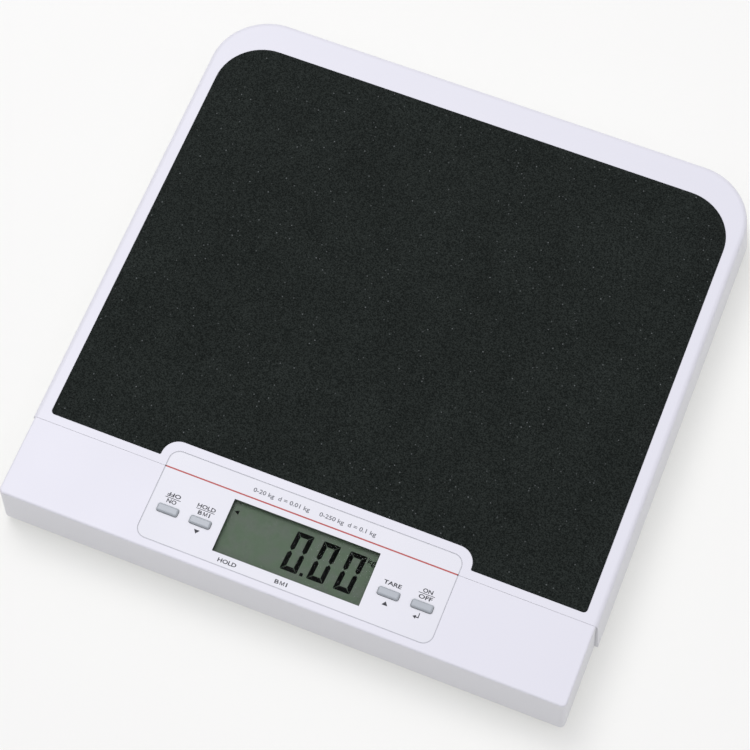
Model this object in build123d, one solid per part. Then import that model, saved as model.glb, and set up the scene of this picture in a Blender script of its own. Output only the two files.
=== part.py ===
from build123d import *
import os

# Low floor scale for weighing animals. A moulded platform cover with a grip mat sits on a steel
# chassis, which stands on a load cell and a foot at each corner. A console with a display and four
# push buttons closes the front, and a base tray with the battery compartment closes the underside.
#
# Millimetres. +Z is up and z = 0 is the floor. +X is to the right of someone facing the display and
# +Y runs from the display to the rear. The origin is the centre of the footprint, on the floor.

# ---- driving dimensions ---------------------------------------------------------------------------
TOP_Z = 40.0            # flat top of the platform and console
SKIRT_Z = 6.0           # lower edge of the covers, and the outer face of the base tray
PLATFORM_HALF = 165.8   # half width of the platform at its top
REAR_TOP_Y = 165.9      # rear edge of the platform at its top
FRONT_TOP_Y = -166.0    # front edge of the console at its top
CONSOLE_HALF = 164.8    # half width of the console at its top
SEAM_Y = -118.4         # joint between the platform cover and the console cover
PLATFORM_FLARE = 2.8    # how far the platform's walls lean out from top to bottom
CONSOLE_FLARE = 1.8     # the same for the console's walls
REAR_RADIUS = 35.6      # rear plan corners of the platform, at the top
REAR_FOOT_RADIUS = 31.0 # the same corners at the lower edge, where they are tighter
FRONT_RADIUS = 3.0      # front plan corners of the console
PLATFORM_EDGE = 3.0     # rounding of the platform's top edge
CONSOLE_EDGE = 1.2      # rounding of the console's top edge
SEAM_GAP = 0.1          # visible gap between the two covers
WALL = 2.2              # side walls of the mouldings
ROOF = 2.5              # top walls of the mouldings

MAT_HALF = 157.4        # half width of the grip mat
MAT_FRONT_Y = -113.2
MAT_REAR_Y = 146.4
MAT_REAR_RADIUS = 28.5
MAT_FRONT_RADIUS = 2.2
MAT_THICK = 1.1
MAT_RECESS = 0.8        # depth of the pocket the mat is bonded into
MAT_GAP = 0.2           # gap between the mat's edge and its pocket
TAB_HALF = 91.3         # the mat is cut away around a tab behind the control panel
TAB_REAR_Y = -102.1
TAB_RADIUS = 9.8
TAB_CORNER = 0.8        # rounding of the mat's corners in front of the tab

PANEL_X = 0.5           # the control panel and its tab sit slightly right of the centre line
PANEL_HALF = 86.0       # printed control overlay
PANEL_FRONT_Y = -160.8
PANEL_REAR_Y = -107.6
PANEL_RADIUS = 6.0
PANEL_THICK = 0.25
PANEL_RECESS = 0.3
PANEL_GAP = 0.12

WINDOW_HALF = 42.8      # visible display window
WINDOW_FRONT_Y = -154.0
WINDOW_REAR_Y = -122.3

LENS_LEDGE = 1.5        # how far the clear lens reaches under the overlay

BUTTON_X = (-73.8, -54.5, 55.5, 74.8)
BUTTON_NODES = ("power_button_left", "hold_button", "tare_button", "power_button_right")
BUTTON_Y = -141.7
BUTTON_LENGTH = 12.3
BUTTON_WIDTH = 4.8
BUTTON_PROUD = 1.5      # how far a released button stands above the panel
BUTTON_TRAVEL = 0.5
BUTTON_CORNER = 1.2
BUTTON_CROWN = 1.1      # rounding of a button's top edge
BUTTON_CLEARANCE = 0.15 # each side, to the cover and the overlay

FOOT_SITES = {          # corner name: (x, y, turn of its load cell about Z in degrees)
    "front_left": (-130.0, -135.0, -90.0),
    "front_right": (130.0, -135.0, 90.0),
    "rear_left": (-120.0, 115.0, 180.0),
    "rear_right": (120.0, 115.0, 180.0),
}
FOOT_RADIUS = 18.5
FOOT_FLANGE_RADIUS = 22.0
FOOT_DROP = 0.75        # free play of a foot when the scale is lifted

CHASSIS_Z = 31.0        # underside of the steel chassis plate
CHASSIS_THICK = 2.0
CHASSIS_HALF = 145.0
CHASSIS_FRONT_Y = -112.0
CHASSIS_REAR_Y = 140.0
CELL_Z = 26.0           # underside of a load cell
CELL_SIZE = 34.0
CELL_THICK = 2.0
CELL_SCREW_OFFSET = 14.0

BOARD_Z = 27.8          # underside of the circuit board
BOARD_THICK = 1.6
BOARD_HALF = 86.0
BOARD_FRONT_Y = -157.2
BOARD_REAR_Y = -119.6
LCD_Z = 34.0            # underside of the display glass
LCD_THICK = 2.6

CELL_LENGTH = 50.4      # AA battery, with its contact button
CELL_RADIUS = 7.15
BATTERY_PITCH = 15.0
BATTERY_Z = 16.3        # battery axis
BAY_HALF = 31.5         # battery bay, inside
BAY_FRONT_Y = -12.0
BAY_REAR_Y = 50.3
BAY_ROOF_Z = 24.6
DOOR_THICK = 2.0
DOOR_GAP = 0.3
HINGE_RADIUS = 2.0      # barrel along the door's hinged edge
TRUNNION_RADIUS = 1.2
TRUNNION_CLEARANCE = 0.07

SCREW_RADIUS = 1.5      # self-tapping screws in the mouldings and load cells
SCREW_HOLE_SLACK = 0.03
CLEAR_HOLE_RADIUS = 1.7
POST_RADIUS = 4.0
POST_FOOT_Z = 11.1      # lower end of the cover posts, just above the tray's bosses

PLATFORM_POST_SITES = ((156.5, -90.0), (156.5, 20.0), (151.0, 138.0), (60.0, 156.0))
CONSOLE_POST_SITES = ((156.5, -124.0), (156.5, -158.0), (97.0, -158.0))
CHASSIS_SCREW_SITES = ((75.0, -80.0), (75.0, 20.0), (75.0, 110.0))
BOARD_SCREW_SITES = ((80.0, -125.5), (80.0, -152.0))
CONNECTOR_X = {
    "rear_left": -66.0,
    "front_left": -48.0,
    "front_right": 48.0,
    "rear_right": 66.0,
    "battery": 20.0,
}
CONNECTOR_Y = -139.0
CONNECTOR_DROP = 6.0

TRAY_GAP = 0.6          # base tray to the inside of the covers
TRAY_FLOOR = 2.2
TRAY_RIM_Z = 14.0

ROOF_Z = TOP_Z - ROOF
TRAY_FLOOR_Z = SKIRT_Z + TRAY_FLOOR
CHASSIS_TOP_Z = CHASSIS_Z + CHASSIS_THICK
BOARD_TOP_Z = BOARD_Z + BOARD_THICK
PANEL_BED_Z = TOP_Z - PANEL_RECESS
LENS_Z = ROOF_Z + 0.55
PLUNGER_TOP_Z = BOARD_TOP_Z + 5.0
PLUNGER_RADIUS = 1.75
PLUNGER_LENGTH = 2.4
PANEL_Y = (PANEL_FRONT_Y + PANEL_REAR_Y) / 2
HINGE_Y = BAY_REAR_Y - DOOR_GAP - HINGE_RADIUS
HINGE_Z = SKIRT_Z + DOOR_THICK
BATTERY_MID_Y = (BAY_FRONT_Y + HINGE_Y - HINGE_RADIUS) / 2


# ---- small helpers --------------------------------------------------------------------------------
def mirrored(sites):
    """The sites given for the right-hand side, together with their mirror images on the left."""
    return [(side * x, y) for side in (-1, 1) for x, y in sites]


def block(x0, x1, y0, y1, z0, z1):
    """A box given by its limits."""
    centre = Pos((x0 + x1) / 2, (y0 + y1) / 2, (z0 + z1) / 2)
    return centre * Box(x1 - x0, y1 - y0, z1 - z0)


def post(x, y, z0, z1, radius):
    """An upright cylinder between two heights."""
    return Pos(x, y, (z0 + z1) / 2) * Cylinder(radius, z1 - z0)


def rounded_block(x, y, length, width, radius, z0, z1):
    """An upright block with rounded plan corners."""
    face = Pos(x, y, z0) * RectangleRounded(length, width, radius)
    return extrude(face, amount=z1 - z0)


def plan(outline, z):
    """A plan outline, given as (half width, front y, rear y, front radius, rear radius)."""
    half, front_y, rear_y, front_radius, rear_radius = outline
    face = Pos(0, (front_y + rear_y) / 2, z) * Rectangle(2 * half, rear_y - front_y)
    if rear_radius > 0:
        face = fillet(face.vertices().group_by(Axis.Y)[-1], rear_radius)
    if front_radius > 0:
        face = fillet(face.vertices().group_by(Axis.Y)[0], front_radius)
    return face


def inset_by(outline, distance):
    """An outline moved inwards on every side. Square corners stay square."""
    half, front_y, rear_y, front_radius, rear_radius = outline
    return (half - distance, front_y + distance, rear_y - distance,
            max(front_radius - distance, 0), max(rear_radius - distance, 0))


def leaning(foot, top, rim_z, inset=0.0):
    """A body with leaning walls. Its outlines are foot on the skirt plane and top at TOP_Z."""
    rise = (rim_z - SKIRT_Z) / (TOP_Z - SKIRT_Z)
    rim = tuple(a + (b - a) * rise for a, b in zip(foot, top))
    return loft([plan(inset_by(foot, inset), SKIRT_Z), plan(inset_by(rim, inset), rim_z)], ruled=True)


def mat_outline(grow, z):
    """Outline of the grip mat, grown by a clearance on every side."""
    mat = (MAT_HALF, MAT_FRONT_Y, MAT_REAR_Y, MAT_FRONT_RADIUS, MAT_REAR_RADIUS)
    tab = (TAB_HALF, MAT_FRONT_Y - 20.0, TAB_REAR_Y, 0, TAB_RADIUS)
    outline = plan(inset_by(mat, -grow), z) - Pos(PANEL_X, 0, 0) * plan(inset_by(tab, grow), z)
    front = outline.vertices().group_by(Axis.Y)[0].sort_by(Axis.X)
    return fillet(front[1:-1], TAB_CORNER)


def edges_at(shape, z):
    """The edges that lie wholly at one height."""
    return shape.edges().filter_by_position(Axis.Z, z - 0.01, z + 0.01)


def bored(shape, sites, radius, z0, z1):
    """The shape with an upright round hole at each site."""
    for x, y in sites:
        shape -= post(x, y, z0, z1, radius)
    return shape


def save(node, *solids):
    """Writes one node; several separate solids make one group."""
    shape = solids[0] if len(solids) == 1 else Compound(children=list(solids))
    shape.label = node
    export_step(shape, f"parts/{node}.step")


PLATFORM_POSTS = mirrored(PLATFORM_POST_SITES)
CONSOLE_POSTS = mirrored(CONSOLE_POST_SITES)
CHASSIS_SCREWS = mirrored(CHASSIS_SCREW_SITES)
BOARD_SCREWS = mirrored(BOARD_SCREW_SITES)
FOOT_POINTS = [(x, y) for x, y, turn in FOOT_SITES.values()]

# Outlines for plan(). Each cover runs on past the seam here and is cut off there later.
PLATFORM_TOP = (PLATFORM_HALF, FRONT_TOP_Y, REAR_TOP_Y, 0, REAR_RADIUS)
PLATFORM_FOOT = (PLATFORM_HALF + PLATFORM_FLARE, FRONT_TOP_Y, REAR_TOP_Y + PLATFORM_FLARE, 0,
                 REAR_FOOT_RADIUS)
CONSOLE_TOP = (CONSOLE_HALF, FRONT_TOP_Y, 0, FRONT_RADIUS, 0)
CONSOLE_FOOT = (CONSOLE_HALF + CONSOLE_FLARE, FRONT_TOP_Y - CONSOLE_FLARE, 0, FRONT_RADIUS, 0)


# ---- covers ---------------------------------------------------------------------------------------
def platform_outer():
    """Outside of the platform cover before it is hollowed."""
    body = leaning(PLATFORM_FOOT, PLATFORM_TOP, TOP_Z)
    top_edges = edges_at(body, TOP_Z)
    front_edge = top_edges.sort_by(Axis.Y)[0]
    body = fillet([edge for edge in top_edges if edge != front_edge], PLATFORM_EDGE)
    return body - block(-200, 200, -200, SEAM_Y + SEAM_GAP / 2, 0, 50)


def platform_ribs():
    """Stiffening ribs under the platform, resting on the chassis plate."""
    rib_half = 0.8
    low = CHASSIS_TOP_Z + 0.05
    ribs = []
    for x in (-140.0, -105.0, -35.0, 0.0, 35.0, 105.0, 140.0):
        ribs.append(block(x - rib_half, x + rib_half, -110.0, 138.0, low, ROOF_Z))
    for y in (-100.0, -50.0, -10.0, 50.0, 80.0, 135.0):
        ribs.append(block(-142.0, 142.0, y - rib_half, y + rib_half, low, ROOF_Z))
    return ribs


def platform_cover():
    body = platform_outer()
    body -= leaning(PLATFORM_FOOT, PLATFORM_TOP, ROOF_Z, WALL)
    for rib in platform_ribs():
        body += rib
    for x, y in PLATFORM_POSTS:
        body += post(x, y, POST_FOOT_Z, ROOF_Z + 0.5, POST_RADIUS)
    for x, y in CHASSIS_SCREWS:
        body += post(x, y, CHASSIS_TOP_Z + 0.05, ROOF_Z + 0.5, 4.5)
    body = bored(body, PLATFORM_POSTS, SCREW_RADIUS + SCREW_HOLE_SLACK, POST_FOOT_Z - 1, 26.0)
    body = bored(body, CHASSIS_SCREWS, 2.0 + SCREW_HOLE_SLACK, CHASSIS_Z, ROOF_Z - 0.3)
    body -= extrude(mat_outline(MAT_GAP, TOP_Z - MAT_RECESS), amount=MAT_RECESS + 1)
    return body - panel_pocket()


def grip_mat():
    return extrude(mat_outline(0, TOP_Z - MAT_RECESS), amount=MAT_THICK)


def panel_pocket():
    """Shallow bed for the overlay, cut across both covers."""
    return rounded_block(PANEL_X, PANEL_Y, 2 * (PANEL_HALF + PANEL_GAP),
                         PANEL_REAR_Y - PANEL_FRONT_Y + 2 * PANEL_GAP, PANEL_RADIUS + PANEL_GAP,
                         PANEL_BED_Z, TOP_Z + 1)


def console_outer():
    body = leaning(CONSOLE_FOOT, CONSOLE_TOP, TOP_Z)
    body = fillet(edges_at(body, TOP_Z), CONSOLE_EDGE)
    return body - block(-200, 200, SEAM_Y - SEAM_GAP / 2, 50, 0, 50)


def console_lip(side):
    """Tongue that reaches under the platform's roof and keeps the two covers level."""
    x0, x1 = sorted((side * 56.0, side * 145.0))
    tongue = block(x0, x1, SEAM_Y - 4.0, SEAM_Y + 4.0, ROOF_Z - 1.7, ROOF_Z - 0.1)
    root = block(x0, x1, SEAM_Y - 4.0, SEAM_Y - 1.5, ROOF_Z - 0.2, ROOF_Z + 0.2)
    return tongue + root


def console_cover():
    body = console_outer()
    body -= leaning(CONSOLE_FOOT, CONSOLE_TOP, ROOF_Z, WALL)
    for side in (-1, 1):
        body += console_lip(side)
    for x, y in CONSOLE_POSTS:
        body += post(x, y, POST_FOOT_Z, ROOF_Z + 0.5, POST_RADIUS)
    for x, y in BOARD_SCREWS:
        body += post(x, y, BOARD_TOP_Z + 0.05, ROOF_Z + 0.5, 3.0)
    body = bored(body, CONSOLE_POSTS, SCREW_RADIUS + SCREW_HOLE_SLACK, POST_FOOT_Z - 1, 26.0)
    body = bored(body, BOARD_SCREWS, 1.0 + SCREW_HOLE_SLACK, BOARD_Z, ROOF_Z - 0.8)
    body -= window_block(LENS_LEDGE + 0.2, LENS_Z - 0.05, 50)
    body -= window_block(LENS_LEDGE - 0.7, 30, 50)
    for x in BUTTON_X:
        body -= button_hole(x)
    return body - panel_pocket()


def window_block(grow, z0, z1):
    """A block over the display window, grown on every side."""
    return block(PANEL_X - WINDOW_HALF - grow, PANEL_X + WINDOW_HALF + grow,
                 WINDOW_FRONT_Y - grow, WINDOW_REAR_Y + grow, z0, z1)


def button_hole(x):
    return rounded_block(x, BUTTON_Y, BUTTON_LENGTH + 2 * BUTTON_CLEARANCE,
                         BUTTON_WIDTH + 2 * BUTTON_CLEARANCE, BUTTON_CORNER + BUTTON_CLEARANCE,
                         ROOF_Z - 1, TOP_Z + 1)


# ---- control panel --------------------------------------------------------------------------------
def control_overlay():
    sheet = rounded_block(PANEL_X, PANEL_Y, 2 * PANEL_HALF, PANEL_REAR_Y - PANEL_FRONT_Y,
                          PANEL_RADIUS, PANEL_BED_Z, PANEL_BED_Z + PANEL_THICK)
    sheet -= window_block(0, 30, 50)
    for x in BUTTON_X:
        sheet -= button_hole(x)
    return sheet


def display_lens():
    return window_block(LENS_LEDGE, LENS_Z, PANEL_BED_Z - 0.05)


def push_button(x):
    top = TOP_Z + BUTTON_PROUD
    cap = rounded_block(x, BUTTON_Y, BUTTON_LENGTH, BUTTON_WIDTH, BUTTON_CORNER, 37.3, top)
    cap = fillet(edges_at(cap, top), BUTTON_CROWN)
    flange = rounded_block(x, BUTTON_Y, BUTTON_LENGTH + 2, BUTTON_WIDTH + 2, 1.5, 36.1, 37.3)
    stem = block(x - 2, x + 2, BUTTON_Y - 2, BUTTON_Y + 2, PLUNGER_TOP_Z + 0.05, 36.1)
    return cap + flange + stem


def switch_plunger(x):
    return post(x, BUTTON_Y, PLUNGER_TOP_Z - PLUNGER_LENGTH, PLUNGER_TOP_Z, PLUNGER_RADIUS)


def tact_switch(x):
    body = block(x - 3, x + 3, BUTTON_Y - 3, BUTTON_Y + 3, BOARD_TOP_Z + 0.02, BOARD_TOP_Z + 3.5)
    seat_z = PLUNGER_TOP_Z - PLUNGER_LENGTH - BUTTON_TRAVEL - 0.3
    return body - post(x, BUTTON_Y, seat_z, PLUNGER_TOP_Z, PLUNGER_RADIUS + 0.1)


def lcd_panel():
    return window_block(3.0, LCD_Z, LCD_Z + LCD_THICK)


def lcd_frame():
    """Ring round the display glass, with a lip that holds it down on the contact strips."""
    ring = window_block(4.4, BOARD_TOP_Z + 0.02, LCD_Z + LCD_THICK + 0.7)
    ring -= window_block(3.1, 20, LCD_Z + LCD_THICK + 0.02)
    return ring - window_block(1.4, 20, 50)


def contact_strips():
    """Two elastomer strips that join the display glass to the board."""
    ys = (WINDOW_FRONT_Y - 1.0, WINDOW_REAR_Y + 1.0)
    return [block(-42, 42, y - 1, y + 1, BOARD_TOP_Z + 0.02, LCD_Z - 0.02) for y in ys]


def main_board():
    board = block(-BOARD_HALF, BOARD_HALF, BOARD_FRONT_Y, BOARD_REAR_Y, BOARD_Z, BOARD_TOP_Z)
    return bored(board, BOARD_SCREWS, 1.2, BOARD_Z - 1, BOARD_TOP_Z + 1)


def board_chips():
    """Controller, converter and memory on the underside of the board: (x, length, depth, height)."""
    chips = ((0.0, 12.0, 12.0, 1.6), (-22.0, 8.0, 10.0, 1.8), (-34.0, 5.0, 4.0, 1.5))
    top = BOARD_Z - 0.02
    return [block(x - a / 2, x + a / 2, CONNECTOR_Y - b / 2, CONNECTOR_Y + b / 2, top - c, top)
            for x, a, b, c in chips]


def board_connectors():
    low, top = BOARD_Z - CONNECTOR_DROP, BOARD_Z - 0.02
    return [block(x - 5, x + 5, CONNECTOR_Y - 3, CONNECTOR_Y + 3, low, top)
            for x in CONNECTOR_X.values()]


def screw(x, y, seat_z, head_radius, head_height, shank_radius, length):
    """Pan-head screw driven upwards: its head hangs below seat_z, with a cross recess."""
    head = post(x, y, seat_z - head_height, seat_z, head_radius)
    head = fillet(edges_at(head, seat_z - head_height), 0.5)
    slot = head_radius * 0.6
    recess_z = seat_z - head_height
    for a, b in ((slot, 0.4), (0.4, slot)):
        head -= block(x - a, x + a, y - b, y + b, recess_z - 1, recess_z + head_height * 0.5)
    return head + post(x, y, seat_z, seat_z + length, shank_radius)


def board_screws():
    return [screw(x, y, BOARD_Z - 0.02, 2.0, 1.4, 1.0, 6.5) for x, y in BOARD_SCREWS]


# ---- chassis, load cells and feet -----------------------------------------------------------------
def cell_screw_pair(x, y):
    """The two screws at opposite corners of a load cell."""
    return [(x + side * CELL_SCREW_OFFSET, y + side * CELL_SCREW_OFFSET) for side in (-1, 1)]


def cell_screw_points():
    return [point for x, y in FOOT_POINTS for point in cell_screw_pair(x, y)]


def chassis_plate():
    """Steel plate with turned-down sides and two ears that reach the front feet."""
    outline = (CHASSIS_HALF, CHASSIS_FRONT_Y, CHASSIS_REAR_Y, 0, 8.0)
    plate = extrude(plan(outline, CHASSIS_Z), amount=CHASSIS_THICK)
    for side in (-1, 1):
        x0, x1 = sorted((side * 106.0, side * 150.0))
        plate += block(x0, x1, -156.5, CHASSIS_FRONT_Y + 2, CHASSIS_Z, CHASSIS_TOP_Z)
        edge = side * CHASSIS_HALF
        x0, x1 = sorted((edge, edge - side * CHASSIS_THICK))
        plate += block(x0, x1, -100.0, 90.0, CHASSIS_Z - 9.0, CHASSIS_TOP_Z)
    plate = bored(plate, CHASSIS_SCREWS, 2.2, CHASSIS_Z - 1, CHASSIS_TOP_Z + 1)
    return bored(plate, cell_screw_points(), SCREW_RADIUS + SCREW_HOLE_SLACK,
                 CHASSIS_Z - 1, CHASSIS_TOP_Z + 1)


def chassis_screws():
    return [screw(x, y, CHASSIS_Z - 0.02, 3.5, 2.0, 2.0, 5.8) for x, y in CHASSIS_SCREWS]


def cell_bracket(x, y):
    """Spacer frame that stands the load cell's rim off the chassis, so that its tongue can bend."""
    top, low = CHASSIS_Z - 0.02, CELL_Z + CELL_THICK + 0.02
    frame = rounded_block(x, y, 40.0, 40.0, 3.0, low, top)
    frame -= rounded_block(x, y, 26.0, 24.0, 2.0, low - 1, top + 1)
    return bored(frame, cell_screw_pair(x, y), CLEAR_HOLE_RADIUS, low - 1, top + 1)


def load_cell(x, y, turn):
    """Punched steel sensor: a square rim with a tongue freed on three sides."""
    tongue_half, slot, reach = 6.5, 2.0, 10.0
    plate = Pos(0, 0, CELL_Z) * RectangleRounded(CELL_SIZE, CELL_SIZE, 3.0)
    plate = extrude(plate, amount=CELL_THICK)
    below, above = CELL_Z - 1, CELL_Z + CELL_THICK + 1
    for side in (-1, 1):
        x0, x1 = sorted((side * tongue_half, side * (tongue_half + slot)))
        plate -= block(x0, x1, -reach, reach, below, above)
    plate -= block(-tongue_half - slot, tongue_half + slot, -reach - slot, -reach, below, above)
    plate = Pos(x, y, 0) * Rot(0, 0, turn) * plate
    return bored(plate, cell_screw_pair(x, y), CLEAR_HOLE_RADIUS, below, above)


def gauge_coat(x, y, turn):
    """Silicone over the strain gauges at the root of the tongue."""
    top = CELL_Z + CELL_THICK + 0.01
    return Pos(x, y, 0) * Rot(0, 0, turn) * rounded_block(0, 6.5, 10.0, 6.0, 1.0, top, top + 0.9)


def cell_screws():
    return [screw(x, y, CELL_Z - 0.02, 2.7, 1.7, SCREW_RADIUS, 6.9) for x, y in cell_screw_points()]


def foot(x, y):
    """Foot cup: a pad holder below the tray, a stop flange inside it and a stem under the load cell."""
    flange_z = TRAY_FLOOR_Z + FOOT_DROP + 0.05
    tip_z = CELL_Z - 0.05
    with BuildPart() as turned:
        with BuildSketch(Plane.XZ):
            with BuildLine():
                Polyline((0, 3.6), (FOOT_RADIUS - 1.6, 3.6), (FOOT_RADIUS - 1.6, 2.0), (FOOT_RADIUS, 2.0),
                         (FOOT_RADIUS, flange_z), (FOOT_FLANGE_RADIUS, flange_z),
                         (FOOT_FLANGE_RADIUS, flange_z + 2.0), (12.0, flange_z + 3.5), (4.5, 17.0),
                         (4.5, tip_z - 1.0), (3.5, tip_z), (0, tip_z), close=True)
            make_face()
        revolve(axis=Axis.Z)
    return Pos(x, y, 0) * turned.part


def foot_pad(x, y):
    """Rubber disc pressed into the foot cup."""
    pad = post(x, y, 0.0, 3.55, FOOT_RADIUS - 1.7)
    return fillet(edges_at(pad, 0), 0.8)


def cable(points, radius, bend):
    """Round cable along straight runs joined by bends."""
    path = FilletPolyline(*points, radius=bend)
    section = Plane(origin=path @ 0, z_dir=path % 0) * Circle(radius)
    return sweep(section, path=path)


def load_cell_cables():
    """One lead from each load cell to its plug under the board."""
    radius, bend, low = 1.1, 4.0, 17.0
    start_z = CELL_Z - radius - 0.1
    plug_z = BOARD_Z - CONNECTOR_DROP - 0.05
    leads = []
    for name, (x, y, turn) in FOOT_SITES.items():
        side = 1 if x > 0 else -1
        plug = CONNECTOR_X[name]
        if y > 0:
            run = [(x, y - 13, start_z), (x, y - 32, start_z), (side * 105.0, y - 45, low),
                   (side * 105.0, -95.0, low), (plug, -122.0, low)]
        else:
            run = [(x - side * 13, y, start_z), (side * 100.0, y, start_z), (side * 88.0, y, low)]
        run += [(plug, CONNECTOR_Y, low), (plug, CONNECTOR_Y, plug_z)]
        leads.append(cable(run, radius, bend))
    return leads


# ---- base tray and battery bay --------------------------------------------------------------------
def base_tray():
    inset = WALL + TRAY_GAP
    half = CONSOLE_FOOT[0] - inset
    front = CONSOLE_FOOT[1] + inset
    rear = PLATFORM_FOOT[2] - inset
    under_console = (half, front, SEAM_Y + 20, 3.0, 0)
    under_platform = (PLATFORM_FOOT[0] - inset, SEAM_Y + TRAY_GAP, rear, 0, REAR_RADIUS - WALL)
    tray, hollow = [], []
    for foot in (under_console, under_platform):
        tray.append(leaning(foot, inset_by(foot, PLATFORM_FLARE), TRAY_RIM_Z))
        hollow.append(extrude(plan(inset_by(foot, 2.4), TRAY_FLOOR_Z), amount=20))
    tray = tray[0] + tray[1] - hollow[0] - hollow[1]
    for x in (-75.0, 75.0):
        tray += block(x - 0.8, x + 0.8, front + 1, rear - 1, TRAY_FLOOR_Z - 0.5, TRAY_FLOOR_Z + 3.0)
    for y in (-60.0, 85.0):
        tray += block(-half + 1, half - 1, y - 0.8, y + 0.8, TRAY_FLOOR_Z - 0.5, TRAY_FLOOR_Z + 3.0)
    for x, y in FOOT_POINTS:
        tray += post(x, y, TRAY_FLOOR_Z - 0.5, 13.0, FOOT_FLANGE_RADIUS + 2.3)
    for x, y in PLATFORM_POSTS + CONSOLE_POSTS:
        tray += post(x, y, TRAY_FLOOR_Z - 0.5, POST_FOOT_Z - 0.1, 4.6)
    tray += block(-BAY_HALF - 2, BAY_HALF + 2, BAY_FRONT_Y - 2, BAY_REAR_Y + 2, SKIRT_Z, BAY_ROOF_Z + 2)
    tray = bored(tray, FOOT_POINTS, FOOT_FLANGE_RADIUS + 0.3, TRAY_FLOOR_Z, 20.0)
    tray = bored(tray, FOOT_POINTS, FOOT_RADIUS + 0.5, 0.0, 20.0)
    screw_sites = PLATFORM_POSTS + CONSOLE_POSTS
    tray = bored(tray, screw_sites, CLEAR_HOLE_RADIUS, 0.0, 20.0)
    tray = bored(tray, screw_sites, 3.4, 0.0, SKIRT_Z + 2.6)
    return tray - bay_hollow()


def bay_hollow():
    """Inside of the battery bay, the hinge sockets and the finger scoop beside the door."""
    hollow = block(-BAY_HALF, BAY_HALF, BAY_FRONT_Y, BAY_REAR_Y, 0, BAY_ROOF_Z)
    socket = Cylinder(TRUNNION_RADIUS + TRUNNION_CLEARANCE, 2 * BAY_HALF + 6)
    socket = Pos(0, HINGE_Y, HINGE_Z) * Rot(0, 90, 0) * socket
    scoop = rounded_block(0, BAY_FRONT_Y - 4, 18.0, 10.0, 4.0, 0, SKIRT_Z + 1.0)
    return hollow + socket + scoop


def battery_door():
    """Door with a barrel and two trunnions along its rear edge and a snap tongue at its front edge."""
    front = BAY_FRONT_Y + DOOR_GAP
    half = BAY_HALF - DOOR_GAP
    door = block(-half, half, front, HINGE_Y, SKIRT_Z, HINGE_Z)
    barrel_half = half - 0.4
    door += Pos(0, HINGE_Y, HINGE_Z) * Rot(0, 90, 0) * Cylinder(HINGE_RADIUS, 2 * barrel_half)
    door += Pos(0, HINGE_Y, HINGE_Z) * Rot(0, 90, 0) * Cylinder(TRUNNION_RADIUS, 2 * BAY_HALF + 3)
    door += block(-8, 8, front + 0.9, front + 2.4, HINGE_Z - 0.5, HINGE_Z + 3.6)
    for x in (-22.5, -7.5, 7.5, 22.5):
        door += block(x - 0.6, x + 0.6, 2.0, 34.0, HINGE_Z - 0.5, HINGE_Z + 0.8)
    for i in range(4):
        y = front + 4.0 + 2.2 * i
        door -= block(-9.0, 9.0, y - 0.5, y + 0.5, SKIRT_Z - 1, SKIRT_Z + 0.4)
    return door


def battery_rows():
    """Centre x of each battery and the way its contact button points along Y."""
    return [((i - 1.5) * BATTERY_PITCH, 1 if i % 2 == 0 else -1) for i in range(4)]


def along_y(shape, x, y, z):
    """Stands a shape made along +Z at a point, lying along +Y."""
    return Pos(x, y, z) * Rot(-90, 0, 0) * shape


def batteries():
    cells = []
    body_length = CELL_LENGTH - 1.2
    for x, way in battery_rows():
        start = BATTERY_MID_Y - way * CELL_LENGTH / 2
        body = along_y(Cylinder(CELL_RADIUS, body_length), x, start + way * body_length / 2, BATTERY_Z)
        body = fillet(body.edges().filter_by(GeomType.CIRCLE), 0.5)
        body += along_y(Cylinder(2.75, 2.4), x, start + way * (body_length), BATTERY_Z)
        cells.append(body)
    return cells


def battery_springs():
    """A coil at the flat end of each battery."""
    springs = []
    turns, pitch, wire = 2.0, 1.1, 0.35
    for x, way in battery_rows():
        flat = BATTERY_MID_Y - way * (CELL_LENGTH / 2 + 0.05)
        path = Helix(pitch=pitch, height=turns * pitch, radius=3.6)
        section = Plane(origin=path @ 0, z_dir=path % 0) * Circle(wire)
        coil = sweep(section, path=path, is_frenet=True)
        coil = Pos(x, flat - way * wire, BATTERY_Z) * Rot(90 if way > 0 else -90, 0, 0) * coil
        springs.append(coil)
    return springs


def battery_plates():
    """Contact plates on the bay's two end walls, joining the four batteries in series."""
    plates = []
    thick = 0.4
    for end_y, spans in ((BAY_FRONT_Y, ((-27.5, -17.5), (-12.5, 12.5), (17.5, 27.5))),
                         (HINGE_Y - HINGE_RADIUS - 0.4, ((-27.5, -2.5), (2.5, 27.5)))):
        y0 = end_y + 0.05 if end_y < 0 else end_y - thick
        for x0, x1 in spans:
            plates.append(block(x0, x1, y0, y0 + thick, BATTERY_Z - 5.0, BATTERY_Z + 6.0))
    return plates


def battery_lead():
    plug_z = BOARD_Z - CONNECTOR_DROP - 0.05
    x = CONNECTOR_X["battery"]
    run = [(x, BAY_FRONT_Y - 2.1, 20.0), (x, BAY_FRONT_Y - 16, 20.0), (x, BAY_FRONT_Y - 26, 14.0),
           (x, CONNECTOR_Y, 14.0), (x, CONNECTOR_Y, plug_z)]
    return cable(run, 1.0, 4.0)


def base_screws():
    return [screw(x, y, SKIRT_Z + 2.58, 2.9, 2.0, SCREW_RADIUS, 15.0)
            for x, y in PLATFORM_POSTS + CONSOLE_POSTS]


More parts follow.
